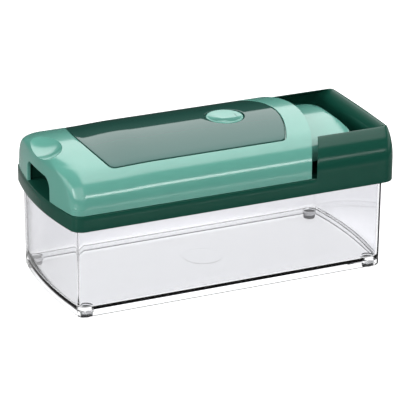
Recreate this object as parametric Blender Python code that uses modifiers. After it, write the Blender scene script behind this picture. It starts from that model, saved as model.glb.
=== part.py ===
"""Vegetable dicer: a clear container, a cutting frame with blades, and a hinged pressing lid.

The dicer is long along X. Its hinge housing is at +X and the lid's free end is at -X, and the
origin lies under its middle, on the surface that it stands on. Sizes are in millimetres and
MM turns them into Blender's metres.
"""

import math

import bmesh
import bpy
from mathutils import Matrix, Vector

MM = 0.001
GAP = 0.3                       # clearance between pieces that would touch

# ---------------------------------------------------------------- driving dimensions
# Container
TUB_X = -3.0                    # middle of the container
TUB_HALF_LENGTH = 120.3         # middle to corner, at the bottom
TUB_HALF_WIDTH = 56.0
TUB_END_BOW = 5.0               # how far the ends bulge out
TUB_DRAFT = 0.006               # the sides lean out by this much per unit of height
TUB_CORNER = 5.0
TUB_WALL = 2.0
TUB_BOTTOM = 1.2                # the foot pads hold it this far off the table
TUB_FLOOR = 8.2                 # top of the raised floor
TUB_RIM = 76.2
FOOT_RADIUS = 4.5
FOOT_TOP = 3.0
FOOT_INSET_X = 7.0              # corner to the middle of a foot
FOOT_INSET_Y = 6.8

# Cutting frame and hinge housing
FRAME_HALF_WIDTH = 59.5
FRAME_LEFT = -134.0             # tip of the bowed left end
FRAME_RIGHT = 134.0
FRAME_LEFT_BOW = 7.0
FRAME_RIGHT_BOW = 9.0
FRAME_CORNER = 9.0
FRAME_WALL = 2.5
FRAME_BOTTOM = 68.4
FRAME_TOP = 80.5
HOUSING_RIM = 107.3
HOUSING_ARC = 25.5              # its side walls lean in along this arc
HOUSING_ARC_RISE = 22.8         # height of that arc
HOUSING_WALL = 1.6
HOUSING_LEFT = 62.0             # where its side walls start, at their foot
HOUSING_LEFT_BOW = 16.0
HOUSING_RIM_RIGHT = 127.0       # tip of its right end at the rim
HOUSING_RIM_BOW = 0.4
HOUSING_FLOOR = 78.1
RECESS_RIGHT = 118.5            # inner face of its right wall, below the rounded rim
RECESS_RIM_RIGHT = 125.2
OPENING_X = (-112.0, 52.0)      # opening that the blade insert drops into
OPENING_HALF_WIDTH = 49.5
SKIRT_WALL = 4.0                # wall round that opening, which locates in the container
LEDGE = 3.0
LEDGE_BOTTOM = 70.4
LEDGE_TOP = 71.9

# Hinge
HINGE_X = 94.0
HINGE_Z = 93.2
PIN_RADIUS = 3.0
PIN_HALF_LENGTH = 53.5
BARREL_RADIUS = 5.5
BARREL_HALF_LENGTH = 37.0

# Lid
LID_HALF_WIDTH = 58.5
LID_TOP = 116.5
LID_CORNER_ARC = 27.0           # arcs of its cross-section
LID_CROWN_ARC = 140.0
LID_LEFT = -133.1
LID_LEFT_BOW = 7.0
LID_LEFT_CORNER = 10.0
LID_RIGHT = 57.7
LID_RIGHT_BOW = 13.5
LID_WALL = 2.5
LID_END_ARC = 11.0              # the left end rolls over into the top
SCOOP_CENTRE = (-134.0, 0.0, 121.0)
SCOOP_AXES = (20.2, 28.4, 13.5)
SCOOP_WALL = 2.0
BOSS_TOP_LEFT = 110.8           # screw bosses, which reach up into the lid's top wall
BOSS_TOP_RIGHT = 110.0
FINGER_HALF_WIDTH = 22.0
FINGER_TOP = 97.2
FINGER_CORNER = 8.0

# Cover panel let into the lid
PANEL_LEFT = -94.0
PANEL_RIGHT = 42.9
PANEL_LEFT_BOW = 7.5
PANEL_RIGHT_BOW = 11.5
PANEL_HALF_WIDTH = 44.5
PANEL_CORNER = 5.0
PANEL_SEAT = 1.8                # thickness of the lid's wall under the panel

# Neck that joins the lid to its hinge
NECK_HALF_WIDTH = 43.5
NECK_TOP = 107.2
NECK_BOTTOM = 88.0
NECK_X = (59.0, 104.2)
NECK_CORNER_ARC = 14.0
NECK_CROWN_ARC = 120.0
NECK_END_ARC = 8.0

# Blades: two lattices, each of an upper layer along X and a lower layer across it
FINE_PITCH = 12.0
FINE_CELLS = (7, 7)
COARSE_PITCH = 21.0
COARSE_CELLS = (3, 4)
BLADE = 0.6                     # thickness of a blade
UPPER_BLADE_Z = (77.3, 80.2)
LOWER_BLADE_Z = (74.0, 77.0)
BLADE_SEATING = 2.0             # how far a blade's ends reach into the insert
LATTICE_WEB = 8.0               # insert material between the two lattices
INSERT_Z = (72.2, 80.0)

# Pusher
PEG_CLEARANCE = 0.5             # peg to blade, on each side
PEG_HOLE_CLEARANCE = 0.1        # a wiper hole's side to the plane of the nearest blade's face
PEG_TIP = 79.2
PUSHER_Z = (93.2, 95.7)
PUSHER_BORDER = 2.5
PUSHER_HALF_WIDTH = 46.0
CLEANER_Z = (89.7, 92.7)
CARRIER_Z = (96.0, 98.2)
CARRIER_X = (-120.0, 63.0)
CARRIER_HALF_WIDTH = 51.2

# Release button and latch
BUTTON_X = 14.4
BUTTON_RADIUS = 14.0
BUTTON_TOP = 116.3
BUTTON_HOLE = 14.7
STEM_RADIUS = 5.0
STEM_TIP = 101.6
LATCH_Z = (98.5, 101.0)
CATCH_X = (34.8, 37.8)
CATCH_HOOK = 2.2
CATCH_TOP = 104.0

SCREWS = [(-116.5, -35.0), (-116.5, 35.0), (54.0, -38.0), (54.0, 38.0)]

MINT = (0.138, 0.413, 0.327)
DARK_GREEN = (0.008, 0.076, 0.048)
CLEAR = (0.92, 0.94, 0.95)
STEEL = (0.62, 0.63, 0.65)
BLACK_RUBBER = (0.02, 0.02, 0.022)
PALE_GREEN = (0.36, 0.62, 0.53)


# ---------------------------------------------------------------- scene, materials, objects
def clear_scene():
    for item in list(bpy.data.objects):
        bpy.data.objects.remove(item, do_unlink=True)


def new_collection(name):
    collection = bpy.data.collections.new(name)
    bpy.context.scene.collection.children.link(collection)
    return collection


def make_material(name, colour, roughness, metallic=0.0, transmission=0.0):
    material = bpy.data.materials.new(name)
    material.use_nodes = True
    shader = material.node_tree.nodes["Principled BSDF"]
    shader.inputs["Base Color"].default_value = (*colour, 1.0)
    shader.inputs["Roughness"].default_value = roughness
    shader.inputs["Metallic"].default_value = metallic
    shader.inputs["Transmission Weight"].default_value = transmission
    return material


clear_scene()
PARTS = new_collection("vegetable_dicer")
CUTTERS = new_collection("cutters")


def to_object(bm, name):
    """Turn a bmesh in millimetres into an object whose mesh is in metres."""
    bmesh.ops.scale(bm, vec=(MM, MM, MM), verts=bm.verts)
    mesh = bpy.data.meshes.new(name)
    bm.to_mesh(mesh)
    bm.free()
    return bpy.data.objects.new(name, mesh)


def as_part(item, material, smooth_angle=35.0):
    """Keep an object as a sub-part: collection, material and smooth shading."""
    PARTS.objects.link(item)
    item.data.materials.clear()
    item.data.materials.append(material)
    item.data.shade_smooth()
    item.data.set_sharp_from_angle(angle=math.radians(smooth_angle))
    return item


def as_cutter(item):
    """Keep an object only as the operand of a Boolean."""
    CUTTERS.objects.link(item)
    item.hide_render = True
    item.display_type = 'WIRE'
    return item


def boolean(item, operation, operand):
    modifier = item.modifiers.new(operation.title() + "_" + operand.name, 'BOOLEAN')
    modifier.operation = operation
    modifier.solver = 'EXACT'
    modifier.object = operand


def set_origin(item, x, y, z):
    """Move an object's origin to a joint's axis and leave its shape where it is."""
    offset = Vector((x, y, z)) * MM
    item.data.transform(Matrix.Translation(-offset))
    item.location = offset


# ---------------------------------------------------------------- shapes
def blocks(name, places):
    """Separate boxes in one mesh, each from its (low, high) pairs along X, Y and Z."""
    bm = bmesh.new()
    for x, y, z in places:
        middle = Vector((x[0] + x[1], y[0] + y[1], z[0] + z[1])) / 2
        size = Matrix.Diagonal((x[1] - x[0], y[1] - y[0], z[1] - z[0], 1.0))
        bmesh.ops.create_cube(bm, size=1.0, matrix=Matrix.Translation(middle) @ size)
    return to_object(bm, name)


def box(name, x, y, z):
    return blocks(name, [(x, y, z)])


def cylinder(name, radius, x, y, z, axis='Z', segments=24):
    """A cylinder; the coordinate along its axis is a (low, high) pair."""
    along = {'X': x, 'Y': y, 'Z': z}[axis]
    middle = (along[0] + along[1]) / 2
    place = {'X': (middle, y, z), 'Y': (x, middle, z), 'Z': (x, y, middle)}[axis]
    turn = {'X': Matrix.Rotation(math.pi / 2, 4, 'Y'), 'Y': Matrix.Rotation(-math.pi / 2, 4, 'X'),
            'Z': Matrix.Identity(4)}[axis]
    bm = bmesh.new()
    bmesh.ops.create_cone(bm, cap_ends=True, segments=segments, radius1=radius, radius2=radius,
                          depth=along[1] - along[0], matrix=Matrix.Translation(place) @ turn)
    return to_object(bm, name)


def loft(name, rings):
    """A closed solid through rings of points, from the lowest ring to the highest."""
    bm = bmesh.new()
    loops = [[bm.verts.new(point) for point in ring] for ring in rings]
    count = len(loops[0])
    for lower, upper in zip(loops, loops[1:]):
        for i in range(count):
            j = (i + 1) % count
            bm.faces.new((lower[i], lower[j], upper[j], upper[i]))
    bm.faces.new(list(reversed(loops[0])))
    bm.faces.new(loops[-1])
    return to_object(bm, name)


def fillet(before, corner, after, radius, segments=4):
    """Points of an arc that rounds one corner of an outline."""
    to_before = (before - corner).normalized()
    to_after = (after - corner).normalized()
    half_angle = to_before.angle(to_after) / 2
    reach = radius / math.tan(half_angle)
    centre = corner + (to_before + to_after).normalized() * radius / math.sin(half_angle)
    start = corner + to_before * reach - centre
    end = corner + to_after * reach - centre
    sweep = start.angle_signed(end)
    points = []
    for i in range(segments + 1):
        turn = Matrix.Rotation(-sweep * i / segments, 2)
        points.append(centre + turn @ start)
    return points


def outline(left, right, half_width, left_bow, right_bow, left_corner, right_corner):
    """A long outline in plan, anticlockwise, with two straight sides and two bowed ends.

    left and right are the tips of the ends, and each bow is how far the tip stands out
    past its corners. A corner radius of zero leaves that end's corners sharp.
    """
    steps = (-0.45, -0.22, 0.0, 0.22, 0.45)

    def end_x(tip, bow, share):
        return tip + bow * share * share

    right_end = [Vector((end_x(right, -right_bow, s), s * half_width)) for s in steps]
    left_end = [Vector((end_x(left, left_bow, -s), -s * half_width)) for s in steps]
    corners = {
        'lower_right': Vector((right - right_bow, -half_width)),
        'upper_right': Vector((right - right_bow, half_width)),
        'upper_left': Vector((left + left_bow, half_width)),
        'lower_left': Vector((left + left_bow, -half_width)),
    }

    def corner(name, before, after, radius):
        if radius <= 0:
            return [corners[name]]
        return fillet(before, corners[name], after, radius)

    points = corner('lower_right', corners['lower_left'], right_end[0], right_corner)
    points += right_end
    points += corner('upper_right', right_end[-1], corners['upper_left'], right_corner)
    points += corner('upper_left', corners['upper_right'], left_end[0], left_corner)
    points += left_end
    points += corner('lower_left', left_end[-1], corners['lower_right'], left_corner)
    return points


def at_height(points, z):
    return [Vector((point.x, point.y, z)) for point in points]


def prism(name, points, z):
    return loft(name, [at_height(points, z[0]), at_height(points, z[1])])


def arch(half_width, top, corner_arc, crown_arc, crown_steps):
    """Half-width and height pairs up an arched cross-section, from its vertical side to its crown."""
    reach = half_width - corner_arc
    crown_z = top - crown_arc
    corner_z = crown_z + math.sqrt((crown_arc - corner_arc) ** 2 - reach ** 2)
    knee = math.acos(reach / (crown_arc - corner_arc))
    levels = []
    for share in (0.0, 0.22, 0.44, 0.66, 0.84, 1.0):
        angle = knee * share
        levels.append((reach + corner_arc * math.cos(angle), corner_z + corner_arc * math.sin(angle)))
    knee_width = levels[-1][0]
    for share in crown_steps:
        width = knee_width * share
        levels.append((width, crown_z + math.sqrt(crown_arc ** 2 - width ** 2)))
    return levels


def roll_over(z, start, radius):
    """How far a surface that turns over with this radius has moved in, at height z."""
    rise = min(max(z - start, 0.0), radius * 0.97)
    return radius - math.sqrt(radius ** 2 - rise ** 2)


def lid_form(name, inset, bottom, right_extra=0.0):
    """The lid's outer form, or the same form inset on every side but its open right end."""
    half_width = LID_HALF_WIDTH - inset
    top = LID_TOP - inset
    levels = arch(half_width, top, LID_CORNER_ARC - inset, LID_CROWN_ARC - inset,
                  (0.8, 0.58, 0.34, 0.12))
    levels.insert(0, (half_width, bottom))
    rings = []
    for width, z in levels:
        share = (width / LID_HALF_WIDTH) ** 2
        roll = roll_over(z, top - LID_END_ARC, LID_END_ARC)
        left = LID_LEFT + inset + roll
        right = LID_RIGHT + LID_RIGHT_BOW + right_extra
        corner = min(LID_LEFT_CORNER + 0.35 * (half_width - width), 0.42 * width)
        ring = outline(left, right, width, LID_LEFT_BOW * share, LID_RIGHT_BOW * share, corner, 0)
        rings.append(at_height(ring, z))
    return loft(name, rings)


def panel_outline(grow):
    return outline(PANEL_LEFT - PANEL_LEFT_BOW - grow, PANEL_RIGHT + PANEL_RIGHT_BOW + grow,
                   PANEL_HALF_WIDTH + grow, PANEL_LEFT_BOW, PANEL_RIGHT_BOW,
                   PANEL_CORNER + grow, PANEL_CORNER + grow)


# ---------------------------------------------------------------- where the two lattices lie
INSERT_X = (OPENING_X[0] + GAP, OPENING_X[1] - GAP)
COARSE_LENGTH = COARSE_CELLS[0] * COARSE_PITCH
FINE_LENGTH = FINE_CELLS[0] * FINE_PITCH
CUTTING_LENGTH = COARSE_LENGTH + LATTICE_WEB + FINE_LENGTH
COARSE_X = (INSERT_X[0] + INSERT_X[1] - CUTTING_LENGTH) / 2
FINE_X = COARSE_X + COARSE_LENGTH + LATTICE_WEB
LATTICES = (
    ("coarse", COARSE_X, COARSE_CELLS, COARSE_PITCH),
    ("fine", FINE_X, FINE_CELLS, FINE_PITCH),
)


def cell_centres():
    """Middle of every cell of both lattices, with the cell's pitch."""
    for _, start, cells, pitch in LATTICES:
        for column in range(cells[0]):
            for row in range(cells[1]):
                yield start + (column + 0.5) * pitch, (row + 0.5 - cells[1] / 2) * pitch, pitch


def blade_layers(start, cells, pitch, grow):
    """Each layer of one lattice as two lists of boxes: its blades, and the rails at their ends."""
    end = start + cells[0] * pitch
    half_width = cells[1] * pitch / 2
    thick = BLADE / 2 + grow
    reach = BLADE_SEATING + grow
    rail = 2 * thick
    upper = []
    for row in range(1, cells[1]):
        y = row * pitch - half_width
        upper.append(((start - reach, end + reach), (y - thick, y + thick), UPPER_BLADE_Z))
    rail_y = (pitch - half_width - thick, half_width - pitch + thick)
    upper_rails = [((start - reach, start - reach + rail), rail_y, UPPER_BLADE_Z),
                   ((end + reach - rail, end + reach), rail_y, UPPER_BLADE_Z)]
    lower = []
    for column in range(1, cells[0]):
        x = start + column * pitch
        lower.append(((x - thick, x + thick), (-half_width - reach, half_width + reach), LOWER_BLADE_Z))
    rail_x = (start + pitch - thick, end - pitch + thick)
    lower_rails = [(rail_x, (-half_width - reach, -half_width - reach + rail), LOWER_BLADE_Z),
                   (rail_x, (half_width + reach - rail, half_width + reach), LOWER_BLADE_Z)]
    return {"upper": (upper, upper_rails), "lower": (lower, lower_rails)}


# ---------------------------------------------------------------- container
def tub_outline(z, inset):
    lean = TUB_DRAFT * (z - TUB_BOTTOM) - inset
    tip = TUB_HALF_LENGTH + TUB_END_BOW + lean
    return outline(TUB_X - tip, TUB_X + tip, TUB_HALF_WIDTH + lean, TUB_END_BOW, TUB_END_BOW,
                   TUB_CORNER, TUB_CORNER)


def tub_form(name, z, inset):
    return loft(name, [at_height(tub_outline(height, inset), height) for height in z])


def make_container(material):
    tub = as_part(tub_form("container_tub", (TUB_BOTTOM, TUB_RIM), 0.0), material)
    boolean(tub, 'DIFFERENCE', as_cutter(tub_form("tub_inside", (TUB_FLOOR, TUB_RIM + 5), TUB_WALL)))
    under = tub_form("tub_underside", (TUB_BOTTOM - 5, TUB_FLOOR - TUB_WALL), TUB_WALL)
    boolean(tub, 'DIFFERENCE', as_cutter(under))
    for place, x, y in foot_places():
        boss = cylinder("foot_boss_" + place, FOOT_RADIUS + 0.7, x, y,
                        (FOOT_TOP + GAP, TUB_FLOOR - 0.5), segments=16)
        boolean(tub, 'UNION', as_cutter(boss))


def foot_places():
    for end, side_x in (("left", -1), ("right", 1)):
        for face, side_y in (("front", -1), ("back", 1)):
            x = TUB_X + side_x * (TUB_HALF_LENGTH - FOOT_INSET_X)
            y = side_y * (TUB_HALF_WIDTH - FOOT_INSET_Y)
            yield face + "_" + end, x, y


def make_feet(material):
    for place, x, y in foot_places():
        as_part(cylinder("foot_" + place, FOOT_RADIUS, x, y, (0.0, FOOT_TOP), segments=16), material)


# ---------------------------------------------------------------- cutting frame
def frame_levels():
    """Half-width, height, tip of the right end and its bow, up the frame and its housing."""
    levels = [(FRAME_HALF_WIDTH - 0.4, FRAME_BOTTOM, FRAME_RIGHT - 0.4, FRAME_RIGHT_BOW),
              (FRAME_HALF_WIDTH, FRAME_BOTTOM + 0.8, FRAME_RIGHT, FRAME_RIGHT_BOW),
              (FRAME_HALF_WIDTH, FRAME_TOP, FRAME_RIGHT, FRAME_RIGHT_BOW)]
    start = HOUSING_RIM - HOUSING_ARC_RISE
    for share in (0.0, 0.3, 0.55, 0.75, 0.9, 1.0):
        rise = HOUSING_ARC_RISE * share
        width = FRAME_HALF_WIDTH - HOUSING_ARC + math.sqrt(HOUSING_ARC ** 2 - rise ** 2)
        right = FRAME_RIGHT + (HOUSING_RIM_RIGHT - FRAME_RIGHT) * share ** 2.2
        bow = FRAME_RIGHT_BOW + (HOUSING_RIM_BOW - FRAME_RIGHT_BOW) * share ** 2
        levels.append((width, start + rise, right, bow))
    return levels


def frame_form(name):
    rings = []
    for width, z, right, bow in frame_levels():
        corner = FRAME_CORNER - 0.4 * (FRAME_HALF_WIDTH - width)
        ring = outline(FRAME_LEFT, right, width, FRAME_LEFT_BOW, bow, FRAME_CORNER, corner)
        rings.append(at_height(ring, z))
    return loft(name, rings)


def left_of_housing(name):
    """Everything above the band and left of the housing's bowed side walls."""
    edge = []
    for i in range(-8, 9):
        y = i * 9.0
        edge.append(Vector((HOUSING_LEFT + HOUSING_LEFT_BOW * (1 - (y / LID_HALF_WIDTH) ** 2), y)))
    points = [Vector((-150.0, -72.0))] + edge + [Vector((-150.0, 72.0))]
    return prism(name, points, (FRAME_TOP, HOUSING_RIM + 10))


def housing_recess(name):
    """The hollow that the neck turns in; its right wall is thick and rounds over at the rim."""
    rings = []
    round_start = HOUSING_RIM - 8.0
    for width, z, _, _ in [(FRAME_HALF_WIDTH, HOUSING_FLOOR, 0, 0)] + frame_levels()[4:]:
        share = max(0.0, (z - round_start) / (HOUSING_RIM - round_start))
        right = RECESS_RIGHT + (RECESS_RIM_RIGHT - RECESS_RIGHT) * share ** 1.7
        ring = outline(HOUSING_LEFT - 1.5, right, width - HOUSING_WALL, 0.0, HOUSING_RIM_BOW, 0, 4.0)
        rings.append(at_height(ring, z))
    last = [Vector((point.x, point.y, HOUSING_RIM + 5)) for point in rings[-1]]
    return loft(name, rings + [last])


def make_cutting_frame(material):
    frame = as_part(frame_form("cutting_frame"), material)
    boolean(frame, 'DIFFERENCE', as_cutter(left_of_housing("above_band")))

    recess = as_cutter(housing_recess("recess"))
    for side in (-1, 1):
        ends = sorted((side * (NECK_HALF_WIDTH + 2 * GAP), side * 75.0))
        boss = cylinder("pin_boss_" + str(side), BARREL_RADIUS, HINGE_X, ends, HINGE_Z, 'Y')
        boolean(recess, 'DIFFERENCE', as_cutter(boss))
    boolean(frame, 'DIFFERENCE', recess)

    bore = cylinder("pin_bore", PIN_RADIUS + GAP, HINGE_X,
                    (-PIN_HALF_LENGTH - GAP, PIN_HALF_LENGTH + GAP), HINGE_Z, 'Y')
    boolean(frame, 'DIFFERENCE', as_cutter(bore))

    inner = outline(FRAME_LEFT + FRAME_WALL, FRAME_RIGHT - FRAME_WALL, FRAME_HALF_WIDTH - FRAME_WALL,
                    FRAME_LEFT_BOW, FRAME_RIGHT_BOW, FRAME_CORNER - FRAME_WALL, FRAME_CORNER - FRAME_WALL)
    channel = as_cutter(prism("rim_channel", inner, (FRAME_BOTTOM - 5, TUB_RIM + GAP)))
    skirt_y = OPENING_HALF_WIDTH + SKIRT_WALL
    skirt = box("skirt", (OPENING_X[0] - FRAME_WALL, OPENING_X[1] + FRAME_WALL), (-skirt_y, skirt_y),
                (LEDGE_BOTTOM, FRAME_TOP))
    boolean(channel, 'DIFFERENCE', as_cutter(skirt))
    boolean(frame, 'DIFFERENCE', channel)

    seat = box("insert_seat", OPENING_X, (-OPENING_HALF_WIDTH, OPENING_HALF_WIDTH),
               (LEDGE_TOP, FRAME_TOP + 5))
    boolean(frame, 'DIFFERENCE', as_cutter(seat))
    through_y = OPENING_HALF_WIDTH - LEDGE
    through = box("insert_opening", (OPENING_X[0] + LEDGE, OPENING_X[1] - LEDGE), (-through_y, through_y),
                  (FRAME_BOTTOM - 8, LEDGE_TOP + 1))
    boolean(frame, 'DIFFERENCE', as_cutter(through))


def make_hinge_pin(material):
    pin = cylinder("hinge_pin", PIN_RADIUS, HINGE_X, (-PIN_HALF_LENGTH, PIN_HALF_LENGTH), HINGE_Z, 'Y')
    as_part(pin, material)
    set_origin(pin, HINGE_X, 0.0, HINGE_Z)


def make_blade_insert(plastic, steel):
    """A plate with two windows of blades, which stand in slots that are open at the top."""
    half_width = OPENING_HALF_WIDTH - GAP
    insert = as_part(box("blade_insert_frame", INSERT_X, (-half_width, half_width), INSERT_Z), plastic)
    for label, start, cells, pitch in LATTICES:
        half = cells[1] * pitch / 2
        window = box(label + "_window", (start, start + cells[0] * pitch), (-half, half),
                     (INSERT_Z[0] - 5, INSERT_Z[1] + 5))
        boolean(insert, 'DIFFERENCE', as_cutter(window))
        slots = blade_layers(start, cells, pitch, GAP)
        for layer, (blades, rails) in blade_layers(start, cells, pitch, 0.0).items():
            name = label + "_" + layer
            lattice = as_part(blocks("blades_" + name, blades), steel)
            boolean(lattice, 'UNION', as_cutter(blocks("rails_" + name, rails)))
            for kind, places in zip(("blade_slots_", "rail_slots_"), slots[layer]):
                open_slots = [(x, y, (z[0] - GAP, INSERT_Z[1] + 5)) for x, y, z in places]
                boolean(insert, 'DIFFERENCE', as_cutter(blocks(kind + name, open_slots)))


# ---------------------------------------------------------------- lid
def make_lid_shell(material):
    shell = as_part(lid_form("lid_shell", 0.0, FRAME_TOP + GAP), material)
    boolean(shell, 'DIFFERENCE', as_cutter(lid_form("lid_inside", LID_WALL, FRAME_TOP - 5, 5.0)))

    scoop_wall = as_cutter(scoop("scoop_wall", SCOOP_WALL))
    boolean(scoop_wall, 'INTERSECT', as_cutter(lid_form("scoop_bound", LID_WALL - 0.2, FRAME_TOP)))
    boolean(shell, 'UNION', scoop_wall)
    boolean(shell, 'DIFFERENCE', as_cutter(scoop("thumb_scoop", 0.0)))

    seat = as_cutter(lid_form("panel_seat", LID_WALL - 0.1, FRAME_TOP))
    under = as_cutter(lid_form("panel_seat_under", LID_WALL + PANEL_SEAT, FRAME_TOP - 2, 5.0))
    boolean(seat, 'DIFFERENCE', under)
    boolean(seat, 'INTERSECT', as_cutter(prism("panel_seat_plan", panel_outline(3.0), (90.0, 130.0))))
    boolean(shell, 'UNION', seat)

    pocket = as_cutter(prism("panel_pocket", panel_outline(0.0), (95.0, 130.0)))
    boolean(pocket, 'DIFFERENCE', as_cutter(lid_form("pocket_floor", LID_WALL, FRAME_TOP, 5.0)))
    boolean(shell, 'DIFFERENCE', pocket)

    hole = cylinder("button_well", BUTTON_HOLE, BUTTON_X, 0.0, (105.0, 125.0), segments=32)
    boolean(shell, 'DIFFERENCE', as_cutter(hole))
    boolean(shell, 'DIFFERENCE', as_cutter(finger_opening("finger_opening")))

    for number, (x, y) in enumerate(SCREWS, start=1):
        top = BOSS_TOP_LEFT if x < 0 else BOSS_TOP_RIGHT
        boss = cylinder("screw_boss_" + str(number), 3.4, x, y, (CARRIER_Z[1] + GAP, top), segments=12)
        boolean(shell, 'UNION', as_cutter(boss))
        pilot = cylinder("screw_pilot_" + str(number), 1.7, x, y, (CARRIER_Z[1] - 3, 108.0), segments=12)
        boolean(shell, 'DIFFERENCE', as_cutter(pilot))
    set_origin(shell, HINGE_X, 0.0, HINGE_Z)


def finger_opening(name):
    """A slot through the left end wall, open at its foot and rounded at its top corners."""
    low = FRAME_TOP - 5
    corners = [Vector((-FINGER_HALF_WIDTH, FINGER_TOP)), Vector((FINGER_HALF_WIDTH, FINGER_TOP))]
    feet = [Vector((-FINGER_HALF_WIDTH, low)), Vector((FINGER_HALF_WIDTH, low))]
    across = [feet[0], feet[1]]
    across += fillet(feet[1], corners[1], corners[0], FINGER_CORNER)
    across += fillet(corners[1], corners[0], feet[0], FINGER_CORNER)
    rings = []
    for x in (LID_LEFT - 5, LID_LEFT + 12):
        rings.append([Vector((x, point.x, point.y)) for point in across])
    return loft(name, rings)


def scoop(name, grow):
    """The ball that presses a shallow dish into the left end of the lid's top."""
    bm = bmesh.new()
    bmesh.ops.create_icosphere(bm, subdivisions=3, radius=1.0)
    bmesh.ops.scale(bm, vec=[axis + grow for axis in SCOOP_AXES], verts=bm.verts)
    bmesh.ops.translate(bm, vec=SCOOP_CENTRE, verts=bm.verts)
    return to_object(bm, name)


def make_cover_panel(material):
    panel = as_part(lid_form("cover_panel", 0.0, FRAME_TOP), material)
    under = lid_form("cover_panel_under", LID_WALL - GAP, FRAME_TOP - 5, 5.0)
    boolean(panel, 'DIFFERENCE', as_cutter(under))
    boolean(panel, 'INTERSECT', as_cutter(prism("cover_panel_plan", panel_outline(-GAP), (80.0, 130.0))))
    hole = cylinder("cover_panel_hole", BUTTON_HOLE, BUTTON_X, 0.0, (105.0, 125.0), segments=32)
    boolean(panel, 'DIFFERENCE', as_cutter(hole))
    set_origin(panel, HINGE_X, 0.0, HINGE_Z)


def neck_form(name, inset, bottom):
    levels = arch(NECK_HALF_WIDTH - inset, NECK_TOP - inset, NECK_CORNER_ARC - inset,
                  NECK_CROWN_ARC - inset, (0.7, 0.4, 0.14))
    levels.insert(0, (NECK_HALF_WIDTH - inset, bottom))
    rings = []
    for width, z in levels:
        roll = roll_over(z, NECK_TOP - inset - NECK_END_ARC, NECK_END_ARC)
        ring = outline(NECK_X[0] + inset, NECK_X[1] - inset - roll, width, 0.0, 2.0, 0,
                       min(9.0 - inset, 0.42 * width))
        rings.append(at_height(ring, z))
    return loft(name, rings)


def make_lid_carrier(material):
    """The lid's inner moulding: a plate over the pusher, the hinge neck and its barrel."""
    half_width = CARRIER_HALF_WIDTH
    plate = outline(CARRIER_X[0], CARRIER_X[1], half_width, 0.0, 0.0, 9.0, 3.0)
    carrier = as_part(prism("lid_carrier", plate, CARRIER_Z), material)
    neck = as_cutter(neck_form("neck", 0.0, NECK_BOTTOM))
    boolean(neck, 'DIFFERENCE', as_cutter(neck_form("neck_inside", 2.5, NECK_BOTTOM - 5)))
    boolean(carrier, 'UNION', neck)
    barrel_y = (-BARREL_HALF_LENGTH, BARREL_HALF_LENGTH)
    barrel = cylinder("hinge_barrel", BARREL_RADIUS, HINGE_X, barrel_y, HINGE_Z, 'Y')
    boolean(carrier, 'UNION', as_cutter(barrel))
    bore = cylinder("barrel_bore", PIN_RADIUS + GAP, HINGE_X, (-60.0, 60.0), HINGE_Z, 'Y')
    boolean(carrier, 'DIFFERENCE', as_cutter(bore))

    notch = box("pocket_notch", (CARRIER_X[0] - 5, -114.5), (-26.5, 26.5), (90.0, 105.0))
    boolean(carrier, 'DIFFERENCE', as_cutter(notch))
    slot = box("catch_slot", (CATCH_X[0] - 0.5, CATCH_X[1] + CATCH_HOOK + 0.5), (-5.6, 5.6), (90.0, 105.0))
    boolean(carrier, 'DIFFERENCE', as_cutter(slot))
    for number, (x, y) in enumerate(SCREWS, start=1):
        hole = cylinder("carrier_hole_" + str(number), 1.7, x, y, (90.0, 105.0), segments=12)
        boolean(carrier, 'DIFFERENCE', as_cutter(hole))
    set_origin(carrier, HINGE_X, 0.0, HINGE_Z)


def make_finger_pocket(material):
    """A closed pocket behind the finger opening, open towards the hand and downwards."""
    pocket = as_part(box("finger_pocket", (-128.4, -115.0), (-25.4, 25.4), (FRAME_TOP + 0.7, 102.0)), material)
    hollow = box("pocket_hollow", (-135.0, -116.5), (-23.9, 23.9), (FRAME_TOP - 5, 100.5))
    boolean(pocket, 'DIFFERENCE', as_cutter(hollow))


def make_screws(material):
    for number, (x, y) in enumerate(SCREWS, start=1):
        screw = cylinder("lid_screw_" + str(number), 1.4, x, y, (CARRIER_Z[0] - 1.5, 107.0), segments=12)
        head = cylinder("screw_head_" + str(number), 3.0, x, y,
                        (CARRIER_Z[0] - GAP - 2.0, CARRIER_Z[0] - GAP), segments=12)
        as_part(screw, material)
        boolean(screw, 'UNION', as_cutter(head))
        slot = box("screw_slot_" + str(number), (x - 2.2, x + 2.2), (y - 0.4, y + 0.4),
                   (CARRIER_Z[0] - GAP - 5.0, CARRIER_Z[0] - GAP - 1.2))
        boolean(screw, 'DIFFERENCE', as_cutter(slot))


# ---------------------------------------------------------------- pusher and cleaning grid
def peg_blocks(name, shrink, z):
    """One square block for each cell of the lattices, smaller than the cell by shrink."""
    places = []
    for x, y, pitch in cell_centres():
        half = (pitch - BLADE - shrink) / 2
        places.append(((x - half, x + half), (y - half, y + half), z))
    return blocks(name, places)


def make_pusher(material):
    """A plate with a peg for each cell, and the catch that the latch holds it by."""
    x = (COARSE_X - PUSHER_BORDER, FINE_X + FINE_LENGTH + PUSHER_BORDER)
    y = (-PUSHER_HALF_WIDTH, PUSHER_HALF_WIDTH)
    pusher = as_part(box("pusher_insert", x, y, PUSHER_Z), material)
    pegs = peg_blocks("pegs", 2 * PEG_CLEARANCE, (PEG_TIP, PUSHER_Z[0] + 1.0))
    boolean(pusher, 'UNION', as_cutter(pegs))
    post = box("catch_post", CATCH_X, (-5.0, 5.0), (PUSHER_Z[1] - 1.0, CATCH_TOP))
    boolean(pusher, 'UNION', as_cutter(post))
    hook = box("catch_hook", (CATCH_X[0] + 1.0, CATCH_X[1] + CATCH_HOOK), (-4.9, 4.9),
               (LATCH_Z[1] + 0.4, CATCH_TOP - 0.1))
    boolean(pusher, 'UNION', as_cutter(hook))


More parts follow.
